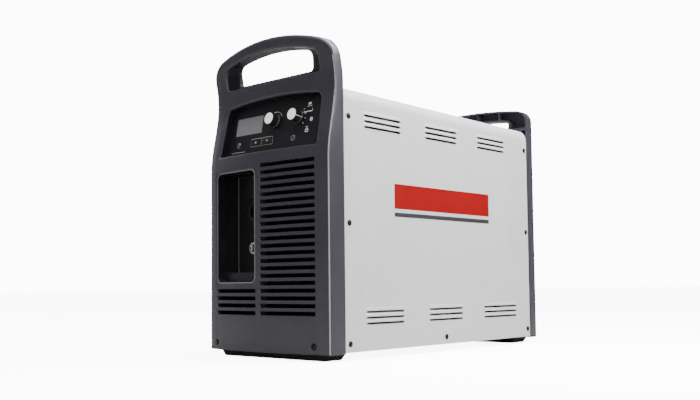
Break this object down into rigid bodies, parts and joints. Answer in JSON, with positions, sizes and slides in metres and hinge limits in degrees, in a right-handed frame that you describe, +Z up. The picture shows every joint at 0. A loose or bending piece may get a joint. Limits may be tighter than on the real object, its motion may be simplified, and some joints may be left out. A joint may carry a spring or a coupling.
{
  "type": "plasma cutter power supply",
  "caption": "Portable plasma cutter unit: moulded end bezels with handles, louvred sheet cover, knob and display panel, torch bay, switch, fan and power electronics.",
  "frame": {"origin": "on the floor under the middle of the case", "axes": "+Z up, -Y is the front with the control panel, +X is the right-hand side seen from the front"},
  "size_m": [0.274, 0.592, 0.508],
  "materials": {
    "bezel_grey": "dark slate grey moulded plastic, fine texture, satin",
    "black_plastic": "black moulded plastic",
    "panel_black": "near-black printed overlay",
    "knob_cap_white": "white gloss insert",
    "display_grey": "grey liquid crystal display",
    "display_clear": "clear display window",
    "indicator_red": "red plastic",
    "cover_silver": "silver painted sheet steel, satin",
    "screw_black": "black oxide steel",
    "zinc_steel": "zinc plated steel",
    "foot_rubber": "black rubber",
    "brass": "machined brass",
    "aluminium": "extruded and cast aluminium",
    "core_steel": "varnished steel laminations",
    "copper": "enamelled copper winding",
    "circuit_board": "green circuit laminate",
    "capacitor_sleeve": "blue shrink sleeve"
  },
  "bodies": {
    "machine": {"air_filter": "aluminium", "base_pan": "zinc_steel", "bay_liner": "black_plastic", "bulk_capacitor_front": "capacitor_sleeve", "bulk_capacitor_rear": "capacitor_sleeve", "centre_panel": "zinc_steel", "control_board": "circuit_board", "control_panel": "panel_black", "cord_gland": "black_plastic", "cover": "cover_silver", "cover_screw_left_1": "screw_black", "cover_screw_left_2": "screw_black", "cover_screw_left_3": "screw_black", "cover_screw_left_4": "screw_black", "cover_screw_left_5": "screw_black", "cover_screw_left_6": "screw_black", "cover_screw_left_7": "screw_black", "cover_screw_right_1": "screw_black", "cover_screw_right_2": "screw_black", "cover_screw_right_3": "screw_black", "cover_screw_right_4": "screw_black", "cover_screw_right_5": "screw_black", "cover_screw_right_6": "screw_black", "cover_screw_right_7": "screw_black", "fan_frame": "black_plastic", "fault_led_lens": "indicator_red", "front_bezel": "bezel_grey", "front_foot": "foot_rubber", "front_screw_left": "screw_black", "front_screw_right": "screw_black", "gas_hose": "foot_rubber", "gas_inlet_fitting": "brass", "heatsink": "aluminium", "igbt_module": "black_plastic", "inductor_core": "core_steel", "inductor_winding": "copper", "interface_port_cover": "black_plastic", "lcd_lens": "display_clear", "lcd_module": "display_grey", "power_board": "circuit_board", "power_switch_base": "black_plastic", "rear_bezel": "bezel_grey", "rear_foot": "foot_rubber", "rear_panel": "zinc_steel", "solenoid_valve": "brass", "torch_receptacle": "black_plastic", "transformer_core": "core_steel", "transformer_winding": "copper", "work_socket_collar": "black_plastic", "work_socket_contact": "zinc_steel"},
    "adjust_knob_body": {"adjust_knob": "black_plastic", "adjust_knob_cap": "knob_cap_white"},
    "mode_knob_body": {"mode_knob": "black_plastic", "mode_knob_cap": "knob_cap_white"},
    "select_button_left_body": {"select_button_left": "black_plastic"},
    "select_button_right_body": {"select_button_right": "black_plastic"},
    "torch_latch_body": {"torch_latch": "black_plastic"},
    "power_switch_body": {"power_switch_handle": "indicator_red"},
    "fan_rotor_body": {"fan_rotor": "black_plastic"}
  },
  "joints": [
    {"name": "adjust_knob_turn", "type": "hinge", "parent": "machine", "child": "adjust_knob_body", "pos_m": [-0.0015, -0.26163, 0.37747], "axis": [0, -0.9848, 0.1736], "continuous": true},
    {"name": "mode_knob_turn", "type": "hinge", "parent": "machine", "child": "mode_knob_body", "pos_m": [0.0507, -0.26163, 0.37747], "axis": [0, -0.9848, 0.1736], "range_deg": [-30, 60]},
    {"name": "select_button_left_press", "type": "slide", "parent": "machine", "child": "select_button_left_body", "axis": [0, 0.9848, -0.1736], "range_m": [0, 0.0011], "stiffness_N_per_m": 400},
    {"name": "select_button_right_press", "type": "slide", "parent": "machine", "child": "select_button_right_body", "axis": [0, 0.9848, -0.1736], "range_m": [0, 0.0011], "stiffness_N_per_m": 400},
    {"name": "torch_latch_press", "type": "slide", "parent": "machine", "child": "torch_latch_body", "axis": [0, 0, -1], "range_m": [0, 0.0018], "stiffness_N_per_m": 600},
    {"name": "power_switch_turn", "type": "hinge", "parent": "machine", "child": "power_switch_body", "pos_m": [0.065, 0.275, 0.145], "axis": [0, 1, 0], "range_deg": [0, 90]},
    {"name": "fan_spin", "type": "hinge", "parent": "machine", "child": "fan_rotor_body", "pos_m": [0, 0.2397, 0.3], "axis": [0, 1, 0], "continuous": true}
  ]
}
